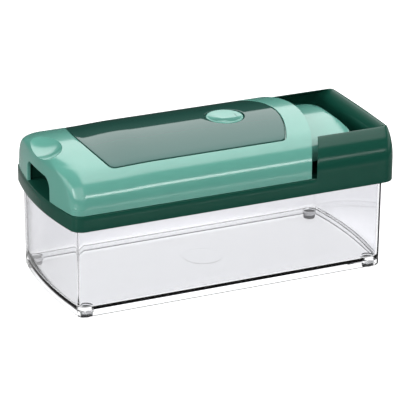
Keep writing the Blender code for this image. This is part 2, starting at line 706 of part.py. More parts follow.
def make_cleaning_grid(material):
    """A plate that rides on the pegs and wipes them clean, with a hole for each peg."""
    x = (COARSE_X - 1.5, FINE_X + FINE_LENGTH + 1.5)
    grid = as_part(box("cleaning_grid", x, (-45.0, 45.0), CLEANER_Z), material)
    holes = peg_blocks("peg_holes", 2 * PEG_HOLE_CLEARANCE, (CLEANER_Z[0] - 5, CLEANER_Z[1] + 5))
    boolean(grid, 'DIFFERENCE', as_cutter(holes))
    set_origin(grid, (x[0] + x[1]) / 2, 0.0, CLEANER_Z[0])


# ---------------------------------------------------------------- release button and latch
def turned(name, profile, steps=32):
    """A turned solid: (radius, height) pairs run down its outer side, from its top to its foot."""
    mesh = bpy.data.meshes.new(name)
    points = [Vector((radius, 0.0, z)) * MM for radius, z in profile]
    mesh.from_pydata(points, [(i, i + 1) for i in range(len(points) - 1)], [])
    item = bpy.data.objects.new(name, mesh)
    screw = item.modifiers.new("Screw", 'SCREW')
    screw.steps = steps
    screw.render_steps = steps
    screw.use_merge_vertices = True
    screw.merge_threshold = 0.00001
    return item


def make_release_button(material):
    """A dished cap on a stem whose slanted tip drives the latch."""
    top = BUTTON_TOP
    under = top - 2.4
    profile = [(0.0, top - 1.1), (6.0, top - 0.8), (12.4, top), (13.4, top - 0.2), (BUTTON_RADIUS, top - 0.9),
               (BUTTON_RADIUS, top - 5.0), (BUTTON_RADIUS - 1.6, top - 5.0), (BUTTON_RADIUS - 1.6, under),
               (STEM_RADIUS, under), (STEM_RADIUS, STEM_TIP), (0.0, STEM_TIP)]
    button = as_part(turned("release_button", profile), material)
    button.location = (BUTTON_X * MM, 0.0, 0.0)
    wedge = box("stem_wedge", (-20.0, 20.0), (-10.0, 10.0), (-20.0, 0.0))
    wedge.location = ((BUTTON_X - STEM_RADIUS) * MM, 0.0, STEM_TIP * MM)
    wedge.rotation_euler = (0.0, -math.pi / 4, 0.0)
    boolean(button, 'DIFFERENCE', as_cutter(wedge))


def make_button_guide(material):
    """A sleeve for the button's stem on a bridge over the latch slider."""
    x = (BUTTON_X - 11.0, BUTTON_X + 11.0)
    bridge_z = (LATCH_Z[1] + 0.8, LATCH_Z[1] + 2.4)
    guide = as_part(box("button_guide", x, (-14.0, 14.0), (CARRIER_Z[1] + GAP, bridge_z[1])), material)
    below = box("bridge_gap", (x[0] - 5, x[1] + 5), (-10.5, 10.5), (CARRIER_Z[1] - 5, bridge_z[0]))
    boolean(guide, 'DIFFERENCE', as_cutter(below))
    sleeve = cylinder("sleeve", 7.0, BUTTON_X, 0.0, (bridge_z[0] + 0.5, 109.0))
    boolean(guide, 'UNION', as_cutter(sleeve))
    bore = cylinder("sleeve_bore", STEM_RADIUS + GAP, BUTTON_X, 0.0, (90.0, 120.0))
    boolean(guide, 'DIFFERENCE', as_cutter(bore))


def make_button_spring(material):
    """A coil round the sleeve, from the bridge up to the underside of the button's cap."""
    wire = 0.55
    radius = 9.0
    turns = 5
    steps = 10
    low = LATCH_Z[1] + 2.4 + GAP + wire
    high = BUTTON_TOP - 2.4 - GAP - wire
    curve = bpy.data.curves.new("button_spring", 'CURVE')
    curve.dimensions = '3D'
    curve.bevel_depth = wire * MM
    curve.bevel_resolution = 1
    curve.use_fill_caps = True
    spline = curve.splines.new('POLY')
    count = turns * steps + 1
    spline.points.add(count - 1)
    for i, point in enumerate(spline.points):
        angle = 2 * math.pi * i / steps
        z = low + (high - low) * i / (count - 1)
        place = Vector((BUTTON_X + radius * math.cos(angle), radius * math.sin(angle), z)) * MM
        point.co = (*place, 1.0)
    spring = bpy.data.objects.new("button_spring", curve)
    PARTS.objects.link(spring)
    curve.materials.append(material)


def make_latch_slider(material):
    """A plate that the button's slanted tip moves towards the hinge, off the pusher's catch."""
    x = (BUTTON_X - 14.0, CATCH_X[1] + 9.0)
    slider = as_part(box("latch_slider", x, (-10.0, 10.0), LATCH_Z), material)
    ramp_top = BUTTON_X + LATCH_Z[1] - STEM_TIP - STEM_RADIUS + 0.4
    ramp_foot = ramp_top - (LATCH_Z[1] - LATCH_Z[0])
    slope = [(BUTTON_X - 11.0, LATCH_Z[0] - 2), (ramp_foot - 2, LATCH_Z[0] - 2),
             (ramp_top + 2, LATCH_Z[1] + 2), (BUTTON_X - 11.0, LATCH_Z[1] + 2)]
    rings = [[Vector((px, y, pz)) for px, pz in slope] for y in (6.0, -6.0)]
    boolean(slider, 'DIFFERENCE', as_cutter(loft("ramp_window", rings)))
    window = box("catch_window", (CATCH_X[0] - 4.0, CATCH_X[1] + 0.4), (-6.0, 6.0),
                 (LATCH_Z[0] - 2, LATCH_Z[1] + 2))
    boolean(slider, 'DIFFERENCE', as_cutter(window))
    set_origin(slider, BUTTON_X, 0.0, LATCH_Z[0])


# ---------------------------------------------------------------- the whole dicer
def main():
    mint = make_material("mint_plastic", MINT, 0.25)
    dark_green = make_material("dark_green_plastic", DARK_GREEN, 0.25)
    gloss_green = make_material("dark_green_gloss", DARK_GREEN, 0.08)
    pale_green = make_material("pale_green_plastic", PALE_GREEN, 0.4)
    clear = make_material("clear_plastic", CLEAR, 0.03, transmission=0.95)
    steel = make_material("steel", STEEL, 0.28, metallic=1.0)
    rubber = make_material("black_rubber", BLACK_RUBBER, 0.7)

    make_container(clear)
    make_feet(rubber)
    make_cutting_frame(dark_green)
    make_hinge_pin(steel)
    make_blade_insert(pale_green, steel)
    make_lid_shell(mint)
    make_cover_panel(gloss_green)
    make_lid_carrier(mint)
    make_finger_pocket(dark_green)
    make_screws(steel)
    make_pusher(pale_green)
    make_cleaning_grid(pale_green)
    make_release_button(mint)
    make_button_guide(dark_green)
    make_button_spring(steel)
    make_latch_slider(dark_green)


main()
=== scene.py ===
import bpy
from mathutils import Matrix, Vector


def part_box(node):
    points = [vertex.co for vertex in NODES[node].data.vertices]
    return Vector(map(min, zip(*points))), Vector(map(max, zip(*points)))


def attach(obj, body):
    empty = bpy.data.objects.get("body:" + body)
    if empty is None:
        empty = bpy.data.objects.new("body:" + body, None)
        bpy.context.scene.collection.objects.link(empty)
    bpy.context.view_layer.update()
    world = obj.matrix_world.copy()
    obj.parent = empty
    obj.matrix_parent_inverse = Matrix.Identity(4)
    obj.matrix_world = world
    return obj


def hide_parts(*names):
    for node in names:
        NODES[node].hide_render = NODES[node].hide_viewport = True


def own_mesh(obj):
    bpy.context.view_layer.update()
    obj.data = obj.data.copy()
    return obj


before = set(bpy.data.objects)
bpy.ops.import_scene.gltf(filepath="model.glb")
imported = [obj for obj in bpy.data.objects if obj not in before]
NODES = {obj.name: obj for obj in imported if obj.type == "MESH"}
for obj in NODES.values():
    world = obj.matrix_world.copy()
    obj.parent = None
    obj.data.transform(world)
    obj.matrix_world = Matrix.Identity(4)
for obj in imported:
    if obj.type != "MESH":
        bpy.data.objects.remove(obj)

"""Looks of the vegetable dicer: finer shells, materials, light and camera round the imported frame.

Sizes are in millimetres in the part's own frame, and MM turns them into metres.
"""
import math

import bmesh
import bpy
import numpy as np
from mathutils import Matrix, Vector

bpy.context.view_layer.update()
MM = 0.001

# ---------------------------------------------------------------- sizes shared with the CAD model
BAND_HALF_WIDTH = 59.5
BAND_LEFT = -134.0
BAND_RIGHT = 134.0
BAND_LEFT_BOW = 7.0
BAND_RIGHT_BOW = 9.0
BAND_CORNER = 9.0
BAND_BOTTOM = 68.4
BAND_TOP = 80.5
RIM = 107.3
SIDE_ARC = 25.5
SIDE_RISE = 22.8
RIM_RIGHT = 127.0
RIM_BOW = 0.4
HOUSING_LEFT = 62.0
HOUSING_BOW = 16.0
HOUSING_WALL = 1.6
RECESS_FLOOR = 78.1
RECESS_RIGHT = 118.5
RECESS_RIM_RIGHT = 125.2
HINGE = (94.0, 93.2)

LID_HALF_WIDTH = 58.5
LID_TOP = 116.5
LID_ARC = 27.0
LID_CROWN = 140.0
LID_LEFT = -133.5
LID_LEFT_BOW = 7.0
LID_CORNER = 8.8
LID_RIGHT = 57.7
LID_RIGHT_BOW = 13.5
LID_FOOT = 80.8
LID_END_ARC = 11.0
LID_WALL = 2.5
LID_DROOP = 1.1                 # the left end lies lower than the crown by this much

PANEL_LEFT = -94.0
PANEL_RIGHT = 42.9
PANEL_LEFT_BOW = 7.5
PANEL_RIGHT_BOW = 11.5
PANEL_HALF_WIDTH = 44.5
PANEL_CORNER = 5.0
GROOVE = 0.42                   # half the width of the groove round the panel
BUTTON = (14.4, 0.0)
BUTTON_RADIUS = 14.0
BUTTON_HOLE = 14.7
BUTTON_TOP = 116.3
SPRING_WIRE = 0.5
SPRING_RADIUS = 9.0
SPRING_TURNS = 5

NECK_HALF_WIDTH = 43.5
NECK_TOP = 107.2
NECK_LEFT = 59.0
NECK_RIGHT = 104.2
NECK_ARC = 14.0
NECK_CROWN = 120.0
NECK_END_ARC = 8.0

TUB_X = -3.0
TUB_HALF_LENGTH = 120.3
TUB_HALF_WIDTH = 56.0
TUB_BOW = 5.0
TUB_DRAFT = 0.006
TUB_CORNER = 5.0
TUB_BOTTOM = 1.2
TUB_FLOOR = 8.2
TUB_RIM = 76.2
TUB_WALL = 2.0

# ---------------------------------------------------------------- materials, light and camera
COAT_ROUGHNESS = 0.03
PLASTIC_IOR = 1.5
STYRENE_IOR = 1.49

SOFTBOX_BACK = 1.7              # how bright each light is
SOFTBOX_FRONT = 3.5
STRIP = 9.0
CORNER_STRIP = 5.4
SIDE_LIGHT = 2.1
FRONT_LIGHT = 1.7
FILL = 0.14
FILL_LOW = 0.03
BACKDROP = 0.66                 # what the clear container shows behind it, and further to the sides
BACKDROP_EDGE = 0.42
FLOOR_RADIUS = 0.80
FLOOR_GREY = 0.25
FLOOR_GLOW = 1.0                # the floor as the camera sees it, and through clear plastic
FLOOR_GLOW_THROUGH = 0.74
# painted light: seen through the clear container, the floor glows brighter right under it, a painted pool of
# light
FLOOR_PAINTED_LIGHT_UNDER_TUB = 1.12

CAMERA_AZIMUTH = -24.338
CAMERA_ELEVATION = 22.268
CAMERA_ROLL = 0.304
CAMERA_TARGET = (-3.0, 0.0, 61.2)
CAMERA_DISTANCE = 1915.6
CAMERA_RIGHT = 1.824
CAMERA_DOWN = 11.916
CAMERA_LENS = 227.26


# ---------------------------------------------------------------- mesh helpers
def mesh_object(name, points, faces):
    mesh = bpy.data.meshes.new(name)
    mesh.from_pydata((np.asarray(points, float) * MM).tolist(), [], faces)
    item = bpy.data.objects.new(name, mesh)
    bpy.context.scene.collection.objects.link(item)
    outward(item)
    return item


def outward(item):
    bm = bmesh.new()
    bm.from_mesh(item.data)
    bmesh.ops.recalc_face_normals(bm, faces=bm.faces)
    bm.to_mesh(item.data)
    bm.free()


def rings_object(name, rings, closed=False):
    """A solid through rings of points; closed joins the last ring to the first instead of capping."""
    count = len(rings[0])
    points = np.concatenate([np.asarray(ring, float) for ring in rings])
    faces = []
    total = len(rings)
    for k in range(total if closed else total - 1):
        lower = k * count
        upper = ((k + 1) % total) * count
        for i in range(count):
            j = (i + 1) % count
            faces.append((lower + i, lower + j, upper + j, upper + i))
    if not closed:
        faces.append(tuple(range(count))[::-1])
        faces.append(tuple(range((total - 1) * count, total * count)))
    return mesh_object(name, points, faces)


def apply_modifiers(item):
    graph = bpy.context.evaluated_depsgraph_get()
    mesh = bpy.data.meshes.new_from_object(item.evaluated_get(graph))
    item.modifiers.clear()
    item.data = mesh


def boolean(item, operation, *cutters):
    for cutter in cutters:
        modifier = item.modifiers.new(operation, 'BOOLEAN')
        modifier.operation = operation
        modifier.solver = 'EXACT'
        modifier.object = cutter
        apply_modifiers(item)
        bpy.data.objects.remove(cutter)
    return item


def bevel(item, width, chosen, segments=3):
    """Round the edges that chosen(first point, second point), in millimetres, picks."""
    bm = bmesh.new()
    bm.from_mesh(item.data)
    bm.normal_update()
    edges = []
    for edge in bm.edges:
        if len(edge.link_faces) == 2 and edge.calc_face_angle(0) > math.radians(30):
            a, b = edge.verts[0].co / MM, edge.verts[1].co / MM
            if chosen(a, b):
                edges.append(edge)
    bmesh.ops.bevel(bm, geom=edges, offset=width * MM, segments=segments, profile=0.5, affect='EDGES',
                    clamp_overlap=True)
    bm.to_mesh(item.data)
    bm.free()
    return item


def box(name, x, y, z):
    points = [(px, py, pz) for pz in z for py in y for px in x]
    faces = [(0, 1, 3, 2), (4, 6, 7, 5), (0, 4, 5, 1), (2, 3, 7, 6), (0, 2, 6, 4), (1, 5, 7, 3)]
    return mesh_object(name, points, faces)


def turned(name, profile, centre, segments=96):
    """A turned solid about Z from (radius, height) pairs that run from its top axis to its bottom axis."""
    angles = np.linspace(0, 2 * math.pi, segments, endpoint=False)
    rings = []
    for radius, z in profile:
        radius = max(radius, 0.02)
        rings.append(np.column_stack((centre[0] + radius * np.cos(angles),
                                      centre[1] + radius * np.sin(angles), np.full(segments, z))))
    return rings_object(name, rings)


def cylinder_y(name, radius, x, y, z, segments=48):
    angles = np.linspace(0, 2 * math.pi, segments, endpoint=False)
    circle_x = x + radius * np.cos(angles)
    circle_z = z + radius * np.sin(angles)
    rings = [np.column_stack((circle_x, np.full(segments, py), circle_z)) for py in y]
    return rings_object(name, rings)


def smooth(item, angle=30.0):
    item.data.shade_smooth()
    item.data.set_sharp_from_angle(angle=math.radians(angle))
    return item


def finish_piece(item, body, material, replaced=(), angle=30.0):
    item.data.materials.clear()
    item.data.materials.append(material)
    smooth(item, angle)
    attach(item, body)
    if replaced:
        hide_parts(*replaced)
    return item


# ---------------------------------------------------------------- plan outlines
def bowed_end(tip, bow, half_width, corner, end_points, corner_points):
    """Points of a right-hand end from its lower side to its upper side, its corners rounded."""
    low, high = 0.0, half_width
    for _ in range(50):
        y = (low + high) / 2
        slope = 2 * bow * y / half_width ** 2
        if y - corner * slope / math.hypot(1, slope) < half_width - corner:
            low = y
        else:
            high = y
    slope = 2 * bow * y / half_width ** 2
    length = math.hypot(1, slope)
    centre_x = tip - bow * (y / half_width) ** 2 - corner / length
    centre_y = half_width - corner
    start = math.atan2(slope, 1.0)
    upper = [(centre_x + corner * math.cos(a), centre_y + corner * math.sin(a))
             for a in np.linspace(start, math.pi / 2, corner_points)]
    middle = [(tip - bow * (v / half_width) ** 2, v) for v in np.linspace(-y, y, end_points + 2)[1:-1]]
    lower = [(x, -v) for x, v in upper][::-1]
    return np.array(lower + middle + upper)


def outline(left, right, half_width, left_bow, right_bow, left_corner, right_corner,
            side_points=60, end_points=24, corner_points=10):
    right_end = bowed_end(right, right_bow, half_width, right_corner, end_points, corner_points)
    left_end = -bowed_end(-left, left_bow, half_width, left_corner, end_points, corner_points)
    shares = np.linspace(0, 1, side_points + 2)[1:-1, None]
    upper_side = right_end[-1] + (left_end[0] - right_end[-1]) * shares
    lower_side = left_end[-1] + (right_end[0] - left_end[-1]) * shares
    return np.concatenate((right_end, upper_side, left_end, lower_side))


def lift(plan, z):
    return np.column_stack((plan, np.full(len(plan), z) if np.isscalar(z) else z))


def round_offsets(radius, steps=5):
    """(inward, upward) moves along a quarter circle, from a wall's side to its top."""
    return [(radius * (1 - math.cos(a)), radius * math.sin(a)) for a in np.linspace(0, math.pi / 2, steps)]


# ---------------------------------------------------------------- materials
def nodes_of(material):
    material.use_nodes = True
    tree = material.node_tree
    return tree, tree.nodes, tree.links, tree.nodes["Principled BSDF"]


def link_noise(tree, coordinates, scale, detail, seed):
    noise = tree.nodes.new("ShaderNodeTexNoise")
    noise.noise_dimensions = '4D'
    noise.inputs["W"].default_value = seed
    noise.inputs["Scale"].default_value = scale
    noise.inputs["Detail"].default_value = detail
    tree.links.new(coordinates, noise.inputs["Vector"])
    return noise.outputs["Fac"]


def map_range(tree, value, low, high):
    node = tree.nodes.new("ShaderNodeMapRange")
    node.inputs["From Min"].default_value = 0.3
    node.inputs["From Max"].default_value = 0.7
    node.inputs["To Min"].default_value = low
    node.inputs["To Max"].default_value = high
    tree.links.new(value, node.inputs["Value"])
    return node.outputs["Result"]


def world_math(tree, operation, *values, clamp=False):
    node = tree.nodes.new("ShaderNodeMath")
    node.operation = operation
    node.use_clamp = clamp
    for socket, value in zip(node.inputs, values):
        if isinstance(value, (int, float)):
            socket.default_value = value
        else:
            tree.links.new(value, socket)
    return node.outputs[0]


def ramp_of(tree, value, start, end, low, high):
    """A smooth step from low at start to high at end."""
    node = tree.nodes.new("ShaderNodeMapRange")
    node.interpolation_type = 'SMOOTHSTEP'
    for name, number in (("From Min", start), ("From Max", end), ("To Min", low), ("To Max", high)):
        node.inputs[name].default_value = number
    tree.links.new(value, node.inputs["Value"])
    return node.outputs["Result"]


def plastic(name, dark, light, roughness, level=0.5, coat=0.0, grain=0.010, edge=0.35,
            subsurface=0.0, tint=(1.0, 1.0, 1.0), seed=1.0):
    """Moulded plastic: slight colour drift, fine grain in roughness and bump, and paler worn edges."""
    material = bpy.data.materials.new(name)
    tree, nodes, links, shader = nodes_of(material)
    coordinates = nodes.new("ShaderNodeTexCoord").outputs["Object"]
    drift = link_noise(tree, coordinates, 34.0, 3.0, seed)
    ramp = nodes.new("ShaderNodeValToRGB")
    ramp.color_ramp.elements[0].position = 0.3
    ramp.color_ramp.elements[1].position = 0.7
    ramp.color_ramp.elements[0].color = (*dark, 1.0)
    ramp.color_ramp.elements[1].color = (*light, 1.0)
    links.new(drift, ramp.inputs["Fac"])
    pointed = nodes.new("ShaderNodeNewGeometry").outputs["Pointiness"]
    worn = nodes.new("ShaderNodeMapRange")
    worn.inputs["From Min"].default_value = 0.53
    worn.inputs["From Max"].default_value = 0.62
    worn.inputs["To Max"].default_value = edge
    links.new(pointed, worn.inputs["Value"])
    mix = nodes.new("ShaderNodeMix")
    mix.data_type = 'RGBA'
    links.new(worn.outputs["Result"], mix.inputs["Factor"])
    links.new(ramp.outputs["Color"], mix.inputs["A"])
    mix.inputs["B"].default_value = (*[min(1.0, c * 1.5 + 0.03) for c in light], 1.0)
    links.new(mix.outputs["Result"], shader.inputs["Base Color"])
    fine = link_noise(tree, coordinates, 1400.0, 2.0, seed + 3.0)
    smear = link_noise(tree, coordinates, 60.0, 4.0, seed + 7.0)
    links.new(map_range(tree, smear, roughness * 0.85, roughness * 1.2), shader.inputs["Roughness"])
    bump = nodes.new("ShaderNodeBump")
    bump.inputs["Strength"].default_value = grain
    bump.inputs["Distance"].default_value = 0.0002
    links.new(fine, bump.inputs["Height"])
    links.new(bump.outputs["Normal"], shader.inputs["Normal"])
    shader.inputs["Specular IOR Level"].default_value = level
    shader.inputs["IOR"].default_value = PLASTIC_IOR
    shader.inputs["Specular Tint"].default_value = (*tint, 1.0)
    shader.inputs["Coat Weight"].default_value = coat
    shader.inputs["Coat Roughness"].default_value = COAT_ROUGHNESS
    if subsurface:
        shader.inputs["Subsurface Weight"].default_value = subsurface
        shader.inputs["Subsurface Radius"].default_value = (0.4, 1.0, 0.8)
        shader.inputs["Subsurface Scale"].default_value = 0.0015
    return material


def clear_plastic(name):
    """Clear styrene, faintly grey up its walls, with fine flow marks in its bump and faint smears in its
    roughness.
    """
    material = bpy.data.materials.new(name)
    tree, nodes, links, shader = nodes_of(material)
    coordinates = nodes.new("ShaderNodeTexCoord").outputs["Object"]
    drift = link_noise(tree, coordinates, 12.0, 2.0, 2.0)
    ramp = nodes.new("ShaderNodeValToRGB")
    ramp.color_ramp.elements[0].color = (0.795, 0.797, 0.820, 1.0)
    ramp.color_ramp.elements[1].color = (0.815, 0.817, 0.838, 1.0)
    links.new(drift, ramp.inputs["Fac"])
    split = nodes.new("ShaderNodeSeparateXYZ")
    links.new(coordinates, split.inputs[0])
    mix = nodes.new("ShaderNodeMix")
    mix.data_type = 'RGBA'
    links.new(ramp_of(tree, split.outputs[2], 0.0075, 0.0110, 0.0, 1.0), mix.inputs["Factor"])
    mix.inputs["A"].default_value = (0.965, 0.968, 0.975, 1.0)
    links.new(ramp.outputs["Color"], mix.inputs["B"])
    links.new(mix.outputs["Result"], shader.inputs["Base Color"])
    smear = link_noise(tree, coordinates, 90.0, 5.0, 5.0)
    links.new(map_range(tree, smear, 0.0, 0.03), shader.inputs["Roughness"])
    flow = link_noise(tree, coordinates, 700.0, 1.0, 8.0)
    bump = nodes.new("ShaderNodeBump")
    bump.inputs["Strength"].default_value = 0.004
    bump.inputs["Distance"].default_value = 0.0001
    links.new(flow, bump.inputs["Height"])
    links.new(bump.outputs["Normal"], shader.inputs["Normal"])
    shader.inputs["Transmission Weight"].default_value = 1.0
    shader.inputs["IOR"].default_value = STYRENE_IOR
    return material


def steel(name, scale, low, high, seed):
    """Ground stainless steel; the grinding marks run along scale's smallest axis."""
    material = bpy.data.materials.new(name)
    tree, nodes, links, shader = nodes_of(material)
    coordinates = nodes.new("ShaderNodeTexCoord").outputs["Object"]
    stretch = nodes.new("ShaderNodeMapping")
    stretch.inputs["Scale"].default_value = scale
    links.new(coordinates, stretch.inputs["Vector"])
    marks = link_noise(tree, stretch.outputs["Vector"], 1.0, 6.0, seed)
    ramp = nodes.new("ShaderNodeValToRGB")
    ramp.color_ramp.elements[0].color = (0.44, 0.45, 0.46, 1.0)
    ramp.color_ramp.elements[1].color = (0.72, 0.73, 0.75, 1.0)
    links.new(marks, ramp.inputs["Fac"])
    links.new(ramp.outputs["Color"], shader.inputs["Base Color"])
    links.new(map_range(tree, marks, low, high), shader.inputs["Roughness"])
    bump = nodes.new("ShaderNodeBump")
    bump.inputs["Strength"].default_value = 0.12
    bump.inputs["Distance"].default_value = 0.0001
    links.new(marks, bump.inputs["Height"])
    links.new(bump.outputs["Normal"], shader.inputs["Normal"])
    shader.inputs["Metallic"].default_value = 1.0
    return material


MINT = plastic("visual_mint", (0.122, 0.376, 0.306), (0.130, 0.396, 0.323), 0.15, level=0.5, coat=0.3,
               grain=0.012, edge=0.15, subsurface=0.08, seed=1.0)
GREEN = plastic("visual_dark_green", (0.0075, 0.066, 0.045), (0.0085, 0.072, 0.049), 0.16, level=0.18,
                grain=0.015, edge=0.12, seed=2.0)
GLOSS = plastic("visual_dark_gloss", (0.0090, 0.064, 0.048), (0.0098, 0.068, 0.051), 0.05, level=0.55,
                grain=0.004, edge=0.10, tint=(0.70, 1.0, 0.98), seed=3.0)
# painted shade: a darker, rougher copy of the dark green for the finger pocket, standing in for shade in the
# finger opening
POCKET_PAINTED_SHADE = plastic("visual_pocket_green_painted_shade", (0.0040, 0.040, 0.026), (0.0048, 0.046, 0.030), 0.30, level=0.3,
                 grain=0.02, edge=0.1, seed=3.5)
PALE = plastic("visual_pale_green", (0.33, 0.58, 0.50), (0.37, 0.63, 0.54), 0.34, level=0.45,
               grain=0.03, edge=0.2, subsurface=0.1, seed=4.0)
RUBBER = plastic("visual_rubber", (0.018, 0.020, 0.022), (0.030, 0.032, 0.035), 0.62, level=0.3,
                 grain=0.12, edge=0.3, seed=5.0)
CLEAR = clear_plastic("visual_clear")
BLADE_STEEL = steel("visual_blade_steel", (160.0, 160.0, 2600.0), 0.18, 0.34, 6.0)
WIRE_STEEL = steel("visual_wire_steel", (900.0, 900.0, 900.0), 0.22, 0.4, 7.0)


# ---------------------------------------------------------------- the lid's outer surface
def crown_drop(z, top, arc, crown, half_width):
    """Half-width of an arched cross-section at height z."""
    reach = half_width - arc
    crown_z = top - crown
    corner_z = crown_z + math.sqrt((crown - arc) ** 2 - reach ** 2)
    knee = math.acos(reach / (crown - arc))
    knee_z = corner_z + arc * math.sin(knee)
    low = reach + np.sqrt(np.maximum(arc ** 2 - np.maximum(z - corner_z, 0.0) ** 2, 0.0))
    high = np.sqrt(np.maximum(crown ** 2 - (z - crown_z) ** 2, 0.0))
    return np.where(z < knee_z, low, high)


def arch_angle_points(half_width, top, arc, crown, shares):
    """(y, z) on the right half of an arch, from its vertical side (0) to its crown (1) by arc length."""
    reach = half_width - arc
    crown_z = top - crown
    corner_z = crown_z + math.sqrt((crown - arc) ** 2 - reach ** 2)
    knee = math.acos(reach / (crown - arc))
    knee_width = reach + arc * math.cos(knee)
    first = arc * knee
    second = crown * math.asin(knee_width / crown)
    points = []
    for share in shares:
        along = share * (first + second)
        if along < first:
            angle = along / arc
            points.append((reach + arc * math.cos(angle), corner_z + arc * math.sin(angle)))
        else:
            angle = math.asin(knee_width / crown) - (along - first) / crown
            points.append((crown * math.sin(angle), crown_z + crown * math.cos(angle)))
    return np.array(points)


class Surface:
    """The height of a long arched cover whose left end rolls over, at any point in plan."""

    def __init__(self, inset=0.0):
        self.half_width = LID_HALF_WIDTH - inset
        self.top = LID_TOP - inset
        self.arc = LID_ARC - inset
        self.crown = LID_CROWN - inset
        self.end_arc = LID_END_ARC - inset * 0.6
        self.left = LID_LEFT + inset
        reach = self.half_width - self.arc
        self.foot = self.top - self.crown + math.sqrt((self.crown - self.arc) ** 2 - reach ** 2)

    def inside(self, x, y, z):
        width = crown_drop(z, self.top, self.arc, self.crown, self.half_width)
        rise = np.clip((z - (self.top - self.end_arc)) / self.end_arc, 0.0, 1.0)
        roll = self.end_arc * (1 - np.sqrt(1 - rise ** 2))
        from_side = width - np.abs(y)
        from_end = x - (self.left + roll + LID_LEFT_BOW * (y / LID_HALF_WIDTH) ** 2)
        corner = np.minimum(LID_CORNER + 0.35 * (self.half_width - width), np.maximum(0.42 * width, 0.5))
        in_corner = (from_side < corner) & (from_end < corner)
        rounded = corner - np.hypot(corner - from_side, corner - from_end)
        return np.where(in_corner, rounded, np.minimum(from_side, from_end))

    def height(self, x, y):
        x = np.asarray(x, float)
        y = np.asarray(y, float)
        low = np.full(x.shape, self.foot - 0.001)
        high = np.full(x.shape, self.top)
        for _ in range(44):
            middle = (low + high) / 2
            is_in = self.inside(x, y, middle) > 0
            low = np.where(is_in, middle, low)
            high = np.where(is_in, high, middle)
        return self.droop(x, (low + high) / 2)

    def droop(self, x, z):
        share = np.clip((-60.0 - x) / 34.0, 0.0, 1.0)
        share = share * share * (3 - 2 * share)
        return z - LID_DROOP * share * np.clip((z - self.foot) / (self.top - self.foot), 0.0, 1.0)


END_POINTS = 64                 # columns in each section of the lid's grid
CORNER_POINTS = 20
SIDE_POINTS = 110
LEFT_POINTS = 56


def right_edge(y):
    return LID_RIGHT + LID_RIGHT_BOW * (1 - (y / LID_HALF_WIDTH) ** 2)


def panel_outline(grow):
    """The panel's outline with the lid grid's number of points in each section."""
    corner = PANEL_CORNER + grow
    half_width = PANEL_HALF_WIDTH + grow
    right_end = bowed_end(PANEL_RIGHT + PANEL_RIGHT_BOW + grow, PANEL_RIGHT_BOW, half_width, corner,
                          END_POINTS, CORNER_POINTS)
    left_end = -bowed_end(-(PANEL_LEFT - PANEL_LEFT_BOW - grow), PANEL_LEFT_BOW, half_width, corner,
                          LEFT_POINTS, CORNER_POINTS)
    shares = np.linspace(0, 1, SIDE_POINTS + 2)[1:-1, None]
    upper = right_end[-1] + (left_end[0] - right_end[-1]) * shares
    lower = left_end[-1] + (right_end[0] - left_end[-1]) * shares
    return np.concatenate((right_end, upper, left_end, lower))


def lid_border(surface):
    """Plan points, start heights and straightness of the lid's free border, section by section."""
    vertical = surface.foot - LID_FOOT
    corner_share = 0.62
    arch = arch_angle_points(surface.half_width, surface.top, surface.arc, surface.crown,
                             np.linspace(0, 1, 200))
    lengths = np.concatenate(([0], np.cumsum(np.hypot(*np.diff(arch, axis=0).T)))) + vertical

    def on_edge(along):
        """A point of the right-hand edge, this far along it from the lid's foot."""
        if along < vertical:
            return surface.half_width, LID_FOOT + along
        return np.interp(along, lengths, arch[:, 0]), np.interp(along, lengths, arch[:, 1])

    total = lengths[-1]
    corner_along = np.linspace(0, total * corner_share, CORNER_POINTS)
    rest = np.linspace(total * corner_share, total, END_POINTS // 2 + 2)[1:]
    rising = [on_edge(a) for a in corner_along] + [on_edge(a) for a in rest[:-1]]
    falling = [(y, z) for y, z in rising][::-1]
    right = [(right_edge(y), -y, z, 1.0) for y, z in rising]
    right += [(right_edge(y), y, z, 1.0) for y, z in falling]
    left = -bowed_end(-surface.left, LID_LEFT_BOW * (surface.half_width / LID_HALF_WIDTH) ** 2,
                      surface.half_width, LID_CORNER, LEFT_POINTS, CORNER_POINTS)
    start = np.array(right[-1][:2])
    shares = np.linspace(0, 1, SIDE_POINTS + 2)[1:-1]
    upper = [(*(start + (left[0] - start) * s), LID_FOOT, max(0.0, 1 - 12 * s)) for s in shares]
    ends = [(x, y, LID_FOOT, 0.0) for x, y in left]
    finish = np.array(right[0][:2])
    lower = [(*(left[-1] + (finish - left[-1]) * s), LID_FOOT, max(0.0, 1 - 12 * (1 - s))) for s in shares]
    return np.array(right + upper + ends + lower)


def lid_rings(surface, inner, steps, extra_depth=None):
    """Rings from the free border of a surface inward to the outline called inner."""
    border = lid_border(surface)
    plan = border[:, :2]
    foot = border[:, 2]
    straight = border[:, 3]
    climb = np.maximum(surface.foot - foot, 0.0)
    vertical_share = 0.13 * climb / (surface.foot - LID_FOOT)
    rings = []
    for k in range(steps + 1):
        s = k / steps
        moved = np.clip((s - vertical_share) / (1 - vertical_share), 0.0, 1.0)
        t = (1 - straight) * moved ** 2 + straight * (0.6 * moved + 0.4 * moved ** 2)
        point = plan + (inner - plan) * t[:, None]
        climbing = vertical_share > 1e-9
        rise = np.where(climbing, np.minimum(s / np.where(climbing, vertical_share, 1), 1.0) * climb, climb)
        low = foot + rise
        z = surface.height(point[:, 0], point[:, 1])
        z = np.where(t <= 1e-9, np.where(climbing, low, foot), z)
        if extra_depth is not None:
            z = z - extra_depth(point[:, 0], point[:, 1])
        rings.append(np.column_stack((point, z)))
    return rings


def circle_for(plan, radius):
    angles = np.arctan2(plan[:, 1] - BUTTON[1], plan[:, 0] - BUTTON[0])
    return np.column_stack((BUTTON[0] + radius * np.cos(angles), BUTTON[1] + radius * np.sin(angles)))


def follow(surface, plan, drop):
    return np.column_stack((plan, surface.height(plan[:, 0], plan[:, 1]) - drop))


